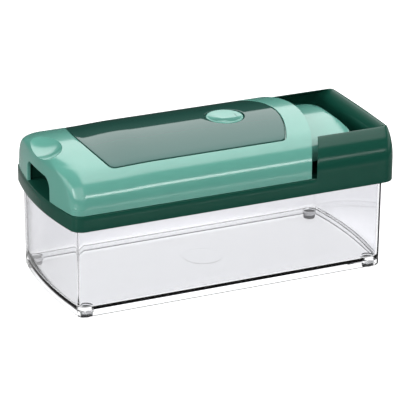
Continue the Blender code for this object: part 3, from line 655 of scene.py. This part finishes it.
def scoop_zone(x, y):
    """How much lower the lid's inner face lies under the thumb scoop, so that its wall stays whole."""
    reach = np.clip(1.25 - np.hypot((x + 134.0) / 24.0, y / 34.0), 0.0, 0.45) / 0.45
    return 9.0 * reach * reach * (3 - 2 * reach)


def make_lid_shell():
    outer = Surface()
    inner = Surface(LID_WALL)
    edge_radius = 0.3
    rings = lid_rings(outer, panel_outline(GROOVE + edge_radius), 34)
    for inward, drop in round_offsets(edge_radius, 4)[1:]:
        rings.append(follow(outer, panel_outline(GROOVE + edge_radius - drop), inward))
    rings.append(follow(outer, panel_outline(GROOVE), 2.45))
    rings.append(follow(outer, panel_outline(-1.0), 2.5))
    rest = panel_outline(-1.0)
    hole = circle_for(rest, BUTTON_HOLE)
    for share in (0.35, 0.7, 1.0):
        rings.append(follow(outer, rest + (hole - rest) * share, 2.5))
    for share in (1.0, 0.5, 0.0):
        rings.append(follow(outer, rest + (hole - rest) * share, 4.3))
    rings.append(follow(outer, panel_outline(2.6), 4.3))
    rings += lid_rings(inner, panel_outline(3.4), 24, scoop_zone)[::-1]
    shell = rings_object("lid_shell_moulded", rings, closed=True)
    border_low = LID_FOOT + 0.02

    def is_border(a, b):
        at_foot = a.z < border_low and b.z < border_low
        at_right = min(a.x - right_edge(a.y), b.x - right_edge(b.y)) > -0.02 and a.z > LID_FOOT - 0.1
        return at_foot or at_right

    bevel(shell, 0.35, is_border, 2)
    boolean(shell, 'DIFFERENCE', finger_cutter(), scoop_cutter())
    return shell


def finger_cutter():
    """The finger opening through the left wall; it flares at the surface, so its edge is rounded."""
    half_width, top, corner, low = 22.0, 97.2, 8.0, LID_FOOT - 6.0
    flare = ((-4.0, 0.8), (-0.05, 0.8), (0.05, 0.62), (0.22, 0.32), (0.45, 0.12), (0.8, 0.0), (9.0, 0.0))
    turn = np.linspace(0, math.pi / 2, 13)
    rings = []
    for depth, grow in flare:
        w = half_width + grow
        t = top + grow
        r = corner + grow
        points = [(-w, z) for z in np.linspace(low, t - r, 12)]
        points += [(-w + r - r * math.cos(a), t - r + r * math.sin(a)) for a in turn[1:]]
        points += [(y, t) for y in np.linspace(-w + r, w - r, 24)[1:-1]]
        points += [(w - r + r * math.sin(a), t - r + r * math.cos(a)) for a in turn]
        points += [(w, z) for z in np.linspace(t - r, low, 12)[1:]]
        rings.append([(LID_LEFT + LID_LEFT_BOW * (y / LID_HALF_WIDTH) ** 2 + depth, y, z) for y, z in points])
    return rings_object("finger_cutter", rings)


def scoop_cutter():
    """The ball that leaves a thumb scoop in the left end of the lid's top."""
    columns, rows = 128, 64
    centre = np.array((-134.0, 0.0, 121.0))
    axes = np.array((20.2, 28.4, 13.5))
    rings = []
    for k in range(1, rows):
        polar = math.pi * k / rows
        angles = np.linspace(0, 2 * math.pi, columns, endpoint=False)
        ball = np.column_stack((math.sin(polar) * np.cos(angles), math.sin(polar) * np.sin(angles),
                                np.full(columns, -math.cos(polar))))
        rings.append(centre + ball * axes)
    return rings_object("scoop_cutter", rings)


def make_panel():
    outer = Surface()
    radius = 0.35
    hole_radius = 0.4
    rings = [follow(outer, panel_outline(-GROOVE), 2.2)]
    for inward, drop in round_offsets(radius, 5):
        rings.append(follow(outer, panel_outline(-GROOVE - inward), radius - drop))
    start = panel_outline(-GROOVE - radius)
    hole = circle_for(start, BUTTON_HOLE + hole_radius)
    for share in np.linspace(0, 1, 30)[1:]:
        rings.append(follow(outer, start + (hole - start) * share, 0.0))
    for inward, drop in round_offsets(hole_radius, 5)[::-1][1:]:
        plan = circle_for(start, BUTTON_HOLE + inward)
        rings.append(follow(outer, plan, hole_radius - drop))
    rings.append(follow(outer, circle_for(start, BUTTON_HOLE), 2.2))
    rings.append(follow(outer, start + (hole - start) * 0.5, 2.2))
    return rings_object("cover_panel_gloss", rings, closed=True)


def make_button():
    top = BUTTON_TOP
    profile = [(0.0, top - 1.9)]
    profile += [(r, top - 1.9 + 1.75 * (r / 12.2) ** 1.35) for r in np.linspace(0.6, 12.2, 22)]
    profile += [(12.6, top - 0.06), (12.95, top - 0.04), (13.3, top - 0.1), (13.65, top - 0.3),
                (13.88, top - 0.6), (BUTTON_RADIUS, top - 1.0), (BUTTON_RADIUS, top - 5.0),
                (12.4, top - 5.0), (12.4, top - 2.6), (5.0, top - 2.6), (5.0, 101.6), (0.0, 101.6)]
    button = turned("release_button_dished", profile, BUTTON, 128)
    wedge = box("wedge", (-20, 20), (-10, 10), (-20, 0))
    wedge.data.transform(Matrix.Translation(Vector((BUTTON[0] - 5.0, 0.0, 101.6)) * MM)
                         @ Matrix.Rotation(-math.pi / 4, 4, 'Y'))
    return boolean(button, 'DIFFERENCE', wedge)


def make_spring():
    """The button's return spring as a wire coil, returned with its foot height and its length."""
    box_low, box_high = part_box("button_spring")
    low = box_low.z / MM + SPRING_WIRE
    high = min(box_high.z / MM, BUTTON_TOP - 2.7) - SPRING_WIRE
    around = np.linspace(0, 2 * math.pi, 12, endpoint=False)
    rings = []
    for share in np.linspace(0, 1, SPRING_TURNS * 40 + 1):
        angle = 2 * math.pi * SPRING_TURNS * share
        reach = SPRING_RADIUS + SPRING_WIRE * np.cos(around)
        rings.append(np.column_stack((BUTTON[0] + reach * math.cos(angle),
                                      BUTTON[1] + reach * math.sin(angle),
                                      low + (high - low) * share + SPRING_WIRE * np.sin(around))))
    return rings_object("button_spring_coil", rings), box_low.z, (high - low) * MM


# ---------------------------------------------------------------- the hinge neck
def neck_rings(inset, low):
    half_width = NECK_HALF_WIDTH - inset
    top = NECK_TOP - inset
    arc = NECK_ARC - inset
    crown = NECK_CROWN - inset
    reach = half_width - arc
    foot = top - crown + math.sqrt((crown - arc) ** 2 - reach ** 2)
    profile = [(half_width, low), (half_width, foot - 0.4)]
    shares = np.concatenate((np.linspace(0, 0.5, 22), np.linspace(0.5, 0.97, 30)[1:], (0.985, 0.995)))
    profile += [tuple(point) for point in arch_angle_points(half_width, top, arc, crown, shares)]
    rings = []
    for width, z in profile:
        rise = min(max(z - (top - NECK_END_ARC), 0.0) / NECK_END_ARC, 1.0)
        roll = NECK_END_ARC * (1 - math.sqrt(1 - min(rise, 0.99999) ** 2))
        corner = max(min(9.0 - inset, 0.42 * width), 0.2)
        bow = 2.0 * (width / half_width) ** 2
        left_corner = max(0.05, min(0.3, width * 0.2))
        plan = outline(NECK_LEFT + inset, NECK_RIGHT - inset - roll, width, 0.0, bow, left_corner, corner,
                       40, 40, 14)
        rings.append(lift(plan, z))
    return rings


def make_carrier():
    """The lid's inner moulding, with a finer neck over its hinge barrel."""
    neck = rings_object("lid_carrier_neck", neck_rings(0.0, 88.0))
    hollow = rings_object("neck_hollow", neck_rings(2.5, 83.0))
    boolean(neck, 'DIFFERENCE', hollow)
    barrel = cylinder_y("barrel", 5.5, HINGE[0], (-37.0, 37.0), HINGE[1], 64)
    boolean(neck, 'UNION', barrel)
    boolean(neck, 'DIFFERENCE', cylinder_y("bore", 3.3, HINGE[0], (-60.0, 60.0), HINGE[1], 64))
    plate = mesh_object("plate_copy", [tuple(v.co / MM) for v in NODES["lid_carrier"].data.vertices],
                        [tuple(p.vertices) for p in NODES["lid_carrier"].data.polygons])
    plate.name = "lid_carrier_plate"
    boolean(plate, 'INTERSECT', box("plate_zone", (-140, 60.5), (-60, 60), (95.0, 98.5)))
    return neck, plate


# ---------------------------------------------------------------- cutting frame and hinge housing
def frame_profile():
    """(half-width, height, right tip, right bow) up the frame, its foot and its rim rounded."""
    radius = 0.9
    profile = []
    for inward, up in round_offsets(radius, 5):
        profile.append((BAND_HALF_WIDTH - radius + up, BAND_BOTTOM + inward, BAND_RIGHT - radius + up,
                        BAND_RIGHT_BOW))
    profile += [(BAND_HALF_WIDTH, z, BAND_RIGHT, BAND_RIGHT_BOW) for z in (72.0, 76.0, BAND_TOP, 82.5)]
    start = RIM - SIDE_RISE
    lip = 0.7
    for share in np.linspace(0, 1 - lip / SIDE_RISE, 30):
        profile.append(housing_level(start + SIDE_RISE * share))
    _, z, _, bow = profile[-1]
    for inward, up in round_offsets(lip, 5)[1:]:
        level = housing_level(z + up)
        profile.append((level[0] - inward, z + up, level[2] - inward, bow))
    return profile


def housing_level(z):
    start = RIM - SIDE_RISE
    rise = max(z - start, 0.0)
    share = rise / SIDE_RISE
    width = BAND_HALF_WIDTH - SIDE_ARC + math.sqrt(SIDE_ARC ** 2 - rise ** 2)
    return (width, z, BAND_RIGHT + (RIM_RIGHT - BAND_RIGHT) * share ** 2.2,
            BAND_RIGHT_BOW + (RIM_BOW - BAND_RIGHT_BOW) * share ** 2)


def housing_edge(y):
    """X of the housing's left edge, which curves along the lid's right edge."""
    return HOUSING_LEFT + HOUSING_BOW * (1 - (y / LID_HALF_WIDTH) ** 2)


def make_frame():
    rings = []
    for width, z, right, bow in frame_profile():
        corner = BAND_CORNER - 0.4 * (BAND_HALF_WIDTH - width)
        rings.append(lift(outline(BAND_LEFT + (BAND_HALF_WIDTH - width if z < 75 else 0.0), right, width,
                                  BAND_LEFT_BOW, bow, BAND_CORNER, corner, 90, 36, 12), z))
    body = rings_object("cutting_frame_housing", rings)

    edge = [(housing_edge(y), y) for y in np.linspace(-72, 72, 73)]
    away = np.array([(-150.0, -72.0)] + edge + [(-150.0, 72.0)])
    boolean(body, 'DIFFERENCE', rings_object("above_band", [lift(away, BAND_TOP), lift(away, RIM + 10)]))

    rings = []
    lip = 0.7
    levels = [RECESS_FLOOR] + list(np.linspace(RIM - SIDE_RISE, RIM - lip, 26))
    levels += [RIM - lip + up for _, up in round_offsets(lip, 5)[1:]] + [RIM + 5]
    for z in levels:
        width = housing_level(min(z, RIM))[0] - HOUSING_WALL
        flare = 0.0
        if z > RIM - lip:
            up = min(z, RIM) - (RIM - lip)
            flare = lip - math.sqrt(max(lip ** 2 - up ** 2, 0.0))
        share = max(0.0, (min(z, RIM) - (RIM - 9.0)) / 9.0)
        right = RECESS_RIGHT + (RECESS_RIM_RIGHT - RECESS_RIGHT - lip) * share ** 1.9 + flare
        plan = outline(HOUSING_LEFT - 1.5, right, width + flare, 0.0, RIM_BOW, 0.2, 4.0, 40, 30, 12)
        rings.append(lift(plan, z))
    recess = rings_object("recess", rings)
    for side in (-1, 1):
        ends = sorted((side * (NECK_HALF_WIDTH + 0.6), side * 75.0))
        boolean(recess, 'DIFFERENCE', cylinder_y("boss", 5.5, HINGE[0], ends, HINGE[1]))
    boolean(body, 'DIFFERENCE', recess)
    boolean(body, 'DIFFERENCE', cylinder_y("pin_bore", 3.3, HINGE[0], (-53.8, 53.8), HINGE[1]))

    channel = rings_object("channel", [lift(outline(BAND_LEFT + 2.5, BAND_RIGHT - 2.5, BAND_HALF_WIDTH - 2.5,
                                                    BAND_LEFT_BOW, BAND_RIGHT_BOW, 6.5, 6.5), z)
                                       for z in (BAND_BOTTOM - 5, TUB_RIM + 0.3)])
    boolean(channel, 'DIFFERENCE', box("skirt", (-114.5, 54.5), (-53.5, 53.5), (70.4, 80.5)))
    boolean(body, 'DIFFERENCE', channel)
    boolean(body, 'DIFFERENCE', box("seat", (-112.0, 52.0), (-49.5, 49.5), (71.9, 86.0)))
    boolean(body, 'DIFFERENCE', box("through", (-109.0, 49.0), (-46.5, 46.5), (60.0, 73.0)))

    def is_band_edge(a, b):
        return (min(a.z, b.z) > BAND_TOP - 0.01 and max(a.z, b.z) < BAND_TOP + 0.01 and max(a.x, b.x) < 61.0
                and min(abs(a.y) + max(0.0, -a.x - 112), abs(b.y) + max(0.0, -b.x - 112)) > 12.0
                and (abs(a.y) > 58.0 or a.x < -120.0))

    def is_housing_edge(a, b):
        return all(abs(v.x - housing_edge(v.y)) < 0.08 and v.z > BAND_TOP + 0.3
                   and abs(v.y) > NECK_HALF_WIDTH + 0.8 for v in (a, b))

    bevel(body, 0.45, is_band_edge, 2)
    bevel(body, 0.5, is_housing_edge, 2)
    return body


# ---------------------------------------------------------------- container
def tub_plan(z, inset, corner):
    lean = TUB_DRAFT * (z - TUB_BOTTOM) - inset
    tip = TUB_HALF_LENGTH + TUB_BOW + lean
    half_width = TUB_HALF_WIDTH + lean
    return outline(TUB_X - tip, TUB_X + tip, half_width, TUB_BOW, TUB_BOW, corner, corner, 80, 40, 14)


def make_tub():
    rings = []
    foot_radius = 1.2
    for inward, up in round_offsets(foot_radius, 5):
        inset = foot_radius - up
        rings.append(lift(tub_plan(TUB_BOTTOM, inset, TUB_CORNER - inset), TUB_BOTTOM + inward))
    for z in np.linspace(TUB_BOTTOM + foot_radius, TUB_RIM - 0.6, 14)[1:]:
        rings.append(lift(tub_plan(z, 0.0, TUB_CORNER), z))
    for inward, up in round_offsets(0.6, 4)[1:]:
        rings.append(lift(tub_plan(TUB_RIM, inward, TUB_CORNER - inward), TUB_RIM - 0.6 + up))
    inner_corner = TUB_CORNER - TUB_WALL
    for inward, up in round_offsets(0.6, 4)[::-1]:
        rings.append(lift(tub_plan(TUB_RIM, TUB_WALL - inward, inner_corner + inward), TUB_RIM - 0.6 + up))
    for z in np.linspace(TUB_RIM - 0.6, TUB_FLOOR + 2.0, 12)[1:]:
        rings.append(lift(tub_plan(z, TUB_WALL, inner_corner), z))
    for inward, up in round_offsets(2.0, 6)[1:]:
        plan = tub_plan(TUB_FLOOR, TUB_WALL + inward, inner_corner + 0.3 * inward)
        rings.append(lift(plan, TUB_FLOOR + 2.0 - up))
    for inward in (2.2, 2.6):
        rings.append(lift(tub_plan(TUB_FLOOR, TUB_WALL + inward, inner_corner + 0.6), TUB_FLOOR))
    tub = rings_object("container_tub_clear", rings)

    under = [lift(tub_plan(z, TUB_WALL + step, inner_corner), z)
             for z, step in ((TUB_BOTTOM - 5, -0.2), (TUB_BOTTOM + 0.3, -0.2), (TUB_BOTTOM + 0.6, 0.0),
                             (TUB_FLOOR - TUB_WALL - 0.8, 0.0), (TUB_FLOOR - TUB_WALL - 0.2, 0.4),
                             (TUB_FLOOR - TUB_WALL, 1.0), (TUB_FLOOR - TUB_WALL, 1.3),
                             (TUB_FLOOR - TUB_WALL, 1.7))]
    boolean(tub, 'DIFFERENCE', rings_object("underside", under))
    for x, y in foot_centres():
        boolean(tub, 'UNION', turned("boss", [(5.2, TUB_FLOOR - 0.5), (5.2, 3.3)], (x, y), 48))
    gate = [(0.0, 6.6), (14.5, 6.6), (14.5, 6.0), (0.0, 6.0)]
    boolean(tub, 'UNION', turned("gate_disc", gate, (TUB_X, 0.0), 96))
    return tub


def foot_centres():
    for side_x in (-1, 1):
        for side_y in (-1, 1):
            yield TUB_X + side_x * (TUB_HALF_LENGTH - 7.0), side_y * (TUB_HALF_WIDTH - 6.8)


def make_foot(place):
    low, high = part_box(place)
    centre = ((low.x + high.x) / 2 / MM, (low.y + high.y) / 2 / MM)
    profile = [(0.0, 3.0), (4.1, 3.0), (4.4, 2.85), (4.5, 2.5), (4.5, 0.8), (4.35, 0.3), (3.95, 0.0),
               (3.2, 0.0), (3.0, 0.15), (0.0, 0.2)]
    return turned(place + "_pad", profile, centre, 64)


# ---------------------------------------------------------------- build the visible pieces
def build():
    finish_piece(make_lid_shell(), "lid", MINT, ["lid_shell"], 24.0)
    finish_piece(make_panel(), "lid", GLOSS, ["cover_panel"], 40.0)
    finish_piece(make_button(), "release_button", MINT, ["release_button"], 40.0)
    spring, spring_foot, spring_length = make_spring()
    finish_piece(spring, "lid", WIRE_STEEL, ["button_spring"], 40.0)
    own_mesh(spring)
    neck, plate = make_carrier()
    finish_piece(neck, "lid", MINT, ["lid_carrier"], 30.0)
    finish_piece(plate, "lid", MINT, [], 30.0)
    finish_piece(make_frame(), "cutting_frame", GREEN, ["cutting_frame"], 30.0)
    finish_piece(make_tub(), "container", CLEAR, ["container_tub"], 30.0)
    for end in ("left", "right"):
        for face in ("front", "back"):
            name = "foot_" + face + "_" + end
            finish_piece(make_foot(name), "container", RUBBER, [name], 40.0)
    kept = {
        "blade_insert_frame": PALE, "pusher_insert": PALE, "cleaning_grid": PALE,
        "button_guide": GREEN, "latch_slider": GREEN, "finger_pocket": POCKET_PAINTED_SHADE,
        "hinge_pin": WIRE_STEEL,
        "lid_screw_1": WIRE_STEEL, "lid_screw_2": WIRE_STEEL,
        "lid_screw_3": WIRE_STEEL, "lid_screw_4": WIRE_STEEL,
        "blades_coarse_lower": BLADE_STEEL, "blades_coarse_upper": BLADE_STEEL,
        "blades_fine_lower": BLADE_STEEL, "blades_fine_upper": BLADE_STEEL,
    }
    for name, material in kept.items():
        NODES[name].data.materials.clear()
        NODES[name].data.materials.append(material)


# ---------------------------------------------------------------- studio
def make_floor():
    bpy.ops.mesh.primitive_circle_add(vertices=128, radius=FLOOR_RADIUS, fill_type='NGON')
    floor = bpy.context.object
    floor.name = "studio_floor"
    material = bpy.data.materials.new("studio_floor")
    tree, nodes, links, shader = nodes_of(material)
    coordinates = nodes.new("ShaderNodeTexCoord").outputs["Object"]
    cloud = link_noise(tree, coordinates, 6.0, 2.0, 11.0)
    links.new(map_range(tree, cloud, 0.10, 0.14), shader.inputs["Roughness"])
    shader.inputs["Base Color"].default_value = (FLOOR_GREY, FLOOR_GREY, FLOOR_GREY, 1.0)
    shader.inputs["Specular IOR Level"].default_value = 0.5
    shader.inputs["Emission Color"].default_value = (1.0, 1.0, 1.0, 1.0)
    path = nodes.new("ShaderNodeLightPath")
    direct = world_math(tree, 'MULTIPLY', path.outputs["Is Camera Ray"], FLOOR_GLOW)
    stretch = nodes.new("ShaderNodeMapping")
    stretch.inputs["Scale"].default_value = (7.2, 15.0, 1.0)
    links.new(coordinates, stretch.inputs["Vector"])
    # painted light: through clear plastic the floor glows brighter right under the container and fades to the
    # even glow further out, a painted pool of light
    reach = nodes.new("ShaderNodeVectorMath")
    reach.operation = 'LENGTH'
    links.new(stretch.outputs["Vector"], reach.inputs[0])
    through_glow_and_painted_pool = ramp_of(tree, reach.outputs["Value"], 0.9, 1.5, FLOOR_PAINTED_LIGHT_UNDER_TUB, FLOOR_GLOW_THROUGH)
    through = world_math(tree, 'MULTIPLY', path.outputs["Is Transmission Ray"], through_glow_and_painted_pool)
    links.new(world_math(tree, 'ADD', direct, through), shader.inputs["Emission Strength"])
    floor.data.materials.append(material)


def window(tree, value, low, low_soft, high, high_soft):
    """1 between low and high, with soft steps this wide at each side."""
    rise = ramp_of(tree, value, low - low_soft / 2, low + low_soft / 2, 0.0, 1.0)
    fall = ramp_of(tree, value, high - high_soft / 2, high + high_soft / 2, 1.0, 0.0)
    return world_math(tree, 'MULTIPLY', rise, fall)


def make_world():
    """Studio light by direction: a long overhead softbox, thin strips at the front, and a soft fill."""
    world = bpy.data.worlds.new("studio")
    bpy.context.scene.world = world
    world.use_nodes = True
    tree = world.node_tree
    nodes, links = tree.nodes, tree.links
    nodes.clear()
    direction = nodes.new("ShaderNodeTexCoord").outputs["Generated"]
    split = nodes.new("ShaderNodeSeparateXYZ")
    links.new(direction, split.inputs[0])
    x, y, z = split.outputs
    around = world_math(tree, 'MULTIPLY', world_math(tree, 'ARCTAN2', z, y), 180 / math.pi)
    azimuth = world_math(tree, 'MULTIPLY', world_math(tree, 'ARCTAN2', y, x), 180 / math.pi)
    elevation = world_math(tree, 'MULTIPLY', world_math(tree, 'ARCSINE', z), 180 / math.pi)

    # the overhead softbox, dimmer towards the back; its front half stops short on the left
    fall = ramp_of(tree, around, 8.0, 75.0, SOFTBOX_BACK, SOFTBOX_FRONT)
    left_end = ramp_of(tree, around, 28.0, 62.0, -0.32, 0.12)
    inside = ramp_of(tree, world_math(tree, 'SUBTRACT', x, left_end), -0.10, 0.14, 0.0, 1.0)
    shape = world_math(tree, 'MULTIPLY', window(tree, around, 21.5, 1.0, 119.0, 10.0), inside)
    shape = world_math(tree, 'MULTIPLY', shape, ramp_of(tree, x, 0.46, 0.58, 1.0, 0.0))
    softbox = world_math(tree, 'MULTIPLY', shape, fall)

    strip = world_math(tree, 'MULTIPLY', window(tree, around, 156.8, 1.5, 163.2, 2.0),
                       window(tree, x, 0.12, 0.20, 0.47, 0.10))
    strip = world_math(tree, 'MULTIPLY', strip, STRIP)
    corner = world_math(tree, 'MULTIPLY', window(tree, elevation, 4.0, 4.0, 30.0, 10.0),
                        window(tree, azimuth, -158.0, 4.0, -149.0, 4.0))
    corner = world_math(tree, 'MULTIPLY', corner, CORNER_STRIP)
    total = world_math(tree, 'ADD', softbox, world_math(tree, 'ADD', strip, corner))

    # broad side lights, which no large face mirrors towards the camera, and a faint fill above the horizon
    sideways = world_math(tree, 'ABSOLUTE', x)
    side = world_math(tree, 'MULTIPLY', ramp_of(tree, sideways, 0.66, 0.80, 0.0, SIDE_LIGHT),
                      ramp_of(tree, z, -0.05, 0.25, 0.0, 1.0))
    front = world_math(tree, 'MULTIPLY', window(tree, around, 128.0, 12.0, 170.0, 8.0),
                       window(tree, x, -0.80, 0.10, 0.06, 0.16))
    front = world_math(tree, 'MULTIPLY', front, FRONT_LIGHT)
    fill = ramp_of(tree, elevation, 4.0, 24.0, FILL_LOW, FILL)
    total = world_math(tree, 'ADD', total, front)
    total = world_math(tree, 'ADD', total, world_math(tree, 'ADD', side, fill))

    # a white backdrop of limited size, so that steep paths through the clear container turn grey
    seen = nodes.new("ShaderNodeBackground")
    seen.inputs["Color"].default_value = (1.0, 1.0, 1.0, 1.0)
    path = nodes.new("ShaderNodeLightPath")
    beyond = ramp_of(tree, sideways, 0.45, 0.75, BACKDROP, BACKDROP_EDGE)
    links.new(world_math(tree, 'MAXIMUM', beyond, path.outputs["Is Camera Ray"]), seen.inputs["Strength"])
    lit = nodes.new("ShaderNodeBackground")
    lit.inputs["Color"].default_value = (1.0, 1.0, 1.0, 1.0)
    links.new(total, lit.inputs["Strength"])
    mix = nodes.new("ShaderNodeMixShader")
    links.new(world_math(tree, 'MAXIMUM', path.outputs["Is Camera Ray"], path.outputs["Is Transmission Ray"]),
              mix.inputs[0])
    links.new(lit.outputs[0], mix.inputs[1])
    links.new(seen.outputs[0], mix.inputs[2])
    links.new(mix.outputs[0], nodes.new("ShaderNodeOutputWorld").inputs["Surface"])


def make_camera():
    azimuth = math.radians(CAMERA_AZIMUTH)
    elevation = math.radians(CAMERA_ELEVATION)
    roll = math.radians(CAMERA_ROLL)
    back = Vector((math.sin(azimuth) * math.cos(elevation), -math.cos(azimuth) * math.cos(elevation),
                   math.sin(elevation)))
    right = Vector((math.cos(azimuth), math.sin(azimuth), 0.0))
    up = back.cross(right)
    right, up = right * math.cos(roll) + up * math.sin(roll), up * math.cos(roll) - right * math.sin(roll)
    place = Vector(CAMERA_TARGET) + back * CAMERA_DISTANCE + right * CAMERA_RIGHT - up * CAMERA_DOWN
    camera = bpy.data.objects.new("camera", bpy.data.cameras.new("camera"))
    bpy.context.scene.collection.objects.link(camera)
    matrix = Matrix((right, up, back)).transposed().to_4x4()
    matrix.translation = place * MM
    camera.matrix_world = matrix
    camera.data.sensor_width = 36.0
    camera.data.lens = CAMERA_LENS
    camera.data.clip_start = 0.1
    bpy.context.scene.camera = camera


build()
make_floor()
make_world()
make_camera()
bpy.context.scene.view_settings.view_transform = 'Standard'
